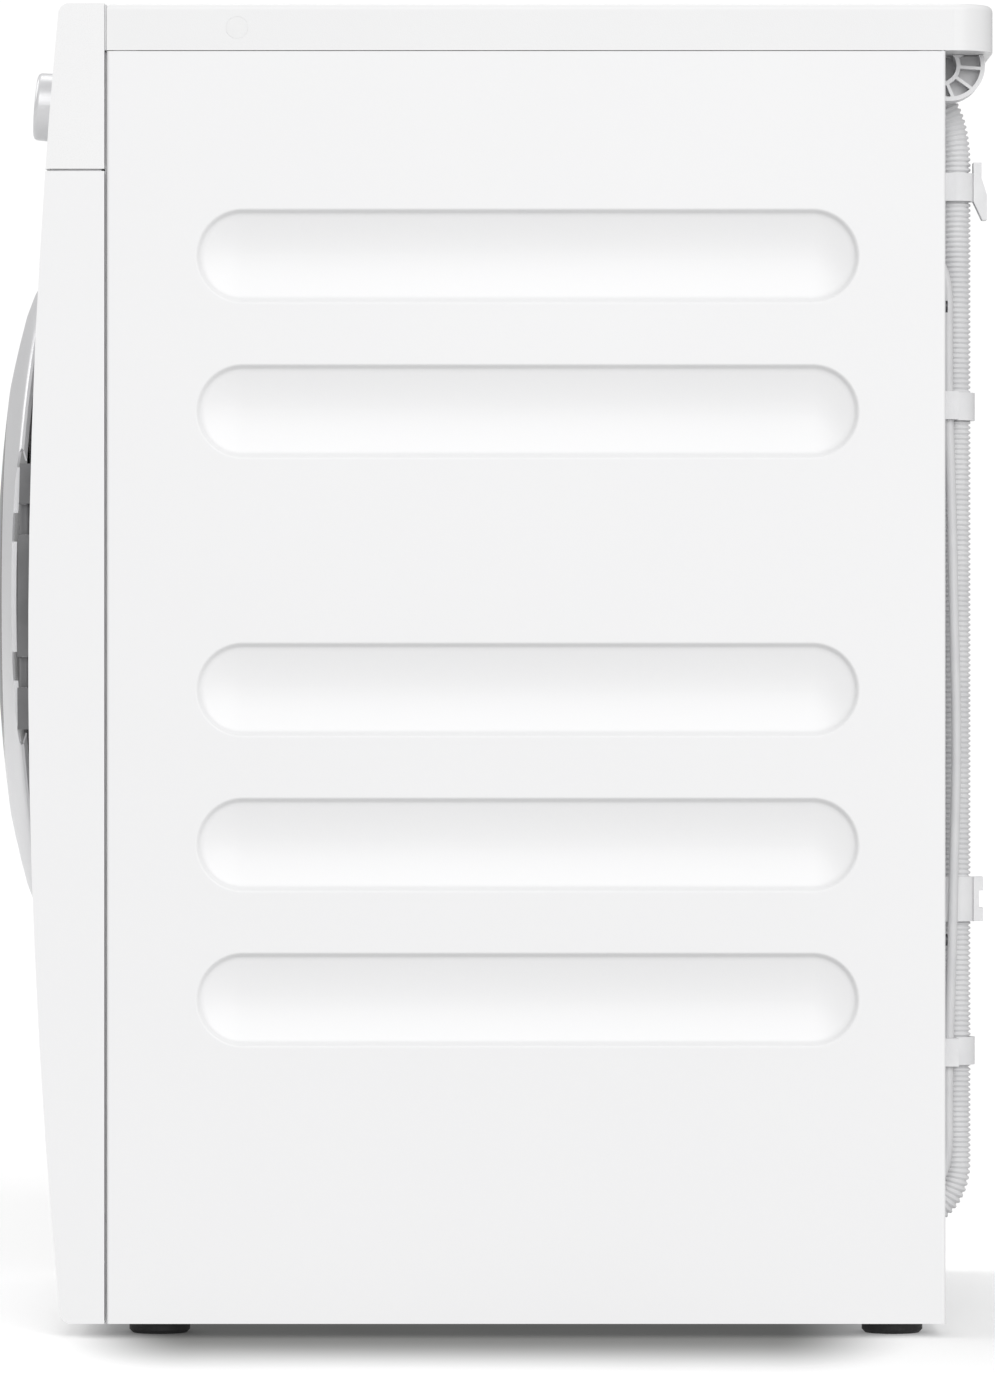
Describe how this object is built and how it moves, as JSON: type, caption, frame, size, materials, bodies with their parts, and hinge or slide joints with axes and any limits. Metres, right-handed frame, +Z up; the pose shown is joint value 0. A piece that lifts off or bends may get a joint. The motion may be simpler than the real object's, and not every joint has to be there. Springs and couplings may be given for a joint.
{
  "type": "clothes dryer",
  "caption": "Front-loading clothes dryer with a round hinged door, turning drum, slide-out condensate container, program knob and a rear drain hose.",
  "frame": {"origin": "bottom centre of the bounding box, on the floor under the feet", "axes": "+Z up, -Y out of the front, +X to the right as seen from the front"},
  "size_m": [0.596, 0.653, 0.85],
  "materials": {
    "white_paint": "smooth white enamel on steel sheet",
    "white_plastic": "smooth white moulding",
    "pale_plastic": "pale grey moulding",
    "silver": "satin silver moulding",
    "lens": "dark tinted cover",
    "dark_plastic": "dark grey moulding",
    "black_rubber": "black rubber",
    "grey_rubber": "grey rubber",
    "steel": "bare steel",
    "galvanised": "zinc-coated sheet",
    "fin_aluminium": "bare aluminium",
    "copper": "bare copper",
    "felt": "pressed felt",
    "hose_grey": "pale grey flexible hose",
    "lead_grey": "pale grey lead sheath",
    "board": "green circuit board",
    "black_paint": "black enamel"
  },
  "bodies": {
    "cabinet": {"base_tray": "pale_plastic", "bearing_bracket": "galvanised", "clipped_lead": "lead_grey", "compressor": "black_paint", "condensate_pump": "dark_plastic", "condenser": "fin_aluminium", "container_housing": "pale_plastic", "control_board": "board", "display_window": "lens", "door_catch": "dark_plastic", "door_seal": "grey_rubber", "drain_hose": "hose_grey", "drive_belt": "black_rubber", "drum_felt_seal": "felt", "evaporator": "fin_aluminium", "fan_housing": "pale_plastic", "fascia": "white_plastic", "front_bulkhead": "pale_plastic", "front_panel": "white_paint", "hinge_bracket": "dark_plastic", "hinge_pin": "steel", "hose_guide": "white_plastic", "hose_holders": "white_plastic", "lead_glands": "pale_plastic", "lid": "white_plastic", "lid_screw_caps": "white_plastic", "mains_inlet": "dark_plastic", "motor": "galvanised", "rear_panel": "galvanised", "rear_screws": "steel", "refrigerant_pipes": "copper", "side_panel_left": "white_paint", "side_panel_right": "white_paint", "top_braces": "galvanised"},
    "door": {"door_ring": "silver", "door_lens": "lens", "door_pan": "pale_plastic", "door_hook": "steel", "hinge_arms": "dark_plastic"},
    "drum": {"drum_shell": "steel", "drum_rear_wall": "steel", "drum_lifters": "pale_plastic", "drum_shaft": "steel"},
    "rotor": {"rotor_shaft": "steel", "fan_wheel": "dark_plastic"},
    "tensioner": {"tension_arm": "steel"},
    "idler": {"idler_pulley": "dark_plastic"},
    "roller_right": {"drum_roller_right": "grey_rubber"},
    "roller_left": {"drum_roller_left": "grey_rubber"},
    "knob": {"program_knob": "silver"},
    "power": {"power_button": "silver"},
    "start": {"start_button": "silver"},
    "container": {"container_front": "white_plastic", "condensate_tank": "pale_plastic"},
    "flap": {"base_flap": "white_plastic"},
    "filter": {"lint_filter": "dark_plastic"},
    "foot_fl": {"foot_front_left": "black_rubber"},
    "foot_fr": {"foot_front_right": "black_rubber"},
    "foot_rl": {"foot_rear_left": "black_rubber"},
    "foot_rr": {"foot_rear_right": "black_rubber"}
  },
  "joints": [
    {"name": "door_swing", "type": "hinge", "parent": "cabinet", "child": "door", "pos_m": [0.213, -0.296, 0.473], "axis": [0, 0, 1], "range_deg": [0, 145]},
    {"name": "knob_turn", "type": "hinge", "parent": "cabinet", "child": "knob", "pos_m": [0.09, -0.2745, 0.798], "axis": [0, -0.9966, 0.0825], "continuous": true},
    {"name": "drum_spin", "type": "hinge", "parent": "cabinet", "child": "drum", "pos_m": [0, 0, 0.473], "axis": [0, 1, 0], "continuous": true},
    {"name": "rotor_spin", "type": "hinge", "parent": "cabinet", "child": "rotor", "pos_m": [0.172, 0, 0.112], "axis": [0, 1, 0], "continuous": true},
    {"name": "roller_right_spin", "type": "hinge", "parent": "cabinet", "child": "roller_right", "pos_m": [0.1711, -0.177, 0.22865], "axis": [0, 1, 0], "continuous": true},
    {"name": "roller_left_spin", "type": "hinge", "parent": "cabinet", "child": "roller_left", "pos_m": [-0.1711, -0.177, 0.22865], "axis": [0, 1, 0], "continuous": true},
    {"name": "tensioner_swing", "type": "hinge", "parent": "cabinet", "child": "tensioner", "pos_m": [0.07, 0.003, 0.06], "axis": [0, 1, 0], "range_deg": [-8, 0], "stiffness_Nm_per_rad": 2, "springref_deg": 17.19},
    {"name": "idler_spin", "type": "hinge", "parent": "tensioner", "child": "idler", "pos_m": [0.0198, -0.006, 0.14618], "axis": [0, 1, 0], "continuous": true},
    {"name": "power_press", "type": "slide", "parent": "cabinet", "child": "power", "axis": [0, 0.9966, -0.0825], "range_m": [0, 0.003], "stiffness_N_per_m": 500, "springref_m": -0.001},
    {"name": "start_press", "type": "slide", "parent": "cabinet", "child": "start", "axis": [0, 0.9966, -0.0825], "range_m": [0, 0.003], "stiffness_N_per_m": 500, "springref_m": -0.001},
    {"name": "container_slide", "type": "slide", "parent": "cabinet", "child": "container", "axis": [0, -1, 0], "range_m": [0, 0.3]},
    {"name": "flap_swing", "type": "hinge", "parent": "cabinet", "child": "flap", "pos_m": [-0.138, -0.26788, 0.0484], "axis": [1, 0, 0], "range_deg": [0, 90]},
    {"name": "filter_lift", "type": "slide", "parent": "cabinet", "child": "filter", "axis": [0, 0, 1], "range_m": [0, 0.085]},
    {"name": "foot_front_left_screw", "type": "slide", "parent": "cabinet", "child": "foot_fl", "axis": [0, 0, -1], "range_m": [0, 0.02]},
    {"name": "foot_front_right_screw", "type": "slide", "parent": "cabinet", "child": "foot_fr", "axis": [0, 0, -1], "range_m": [0, 0.02]},
    {"name": "foot_rear_left_screw", "type": "slide", "parent": "cabinet", "child": "foot_rl", "axis": [0, 0, -1], "range_m": [0, 0.02]},
    {"name": "foot_rear_right_screw", "type": "slide", "parent": "cabinet", "child": "foot_rr", "axis": [0, 0, -1], "range_m": [0, 0.02]}
  ],
  "couplings": [
    {"joint": "rotor_spin", "follows": "drum_spin", "ratio": 26.8},
    {"joint": "roller_right_spin", "follows": "drum_spin", "ratio": -8.9333},
    {"joint": "roller_left_spin", "follows": "drum_spin", "ratio": -8.9333},
    {"joint": "idler_spin", "follows": "drum_spin", "ratio": -14.889}
  ]
}
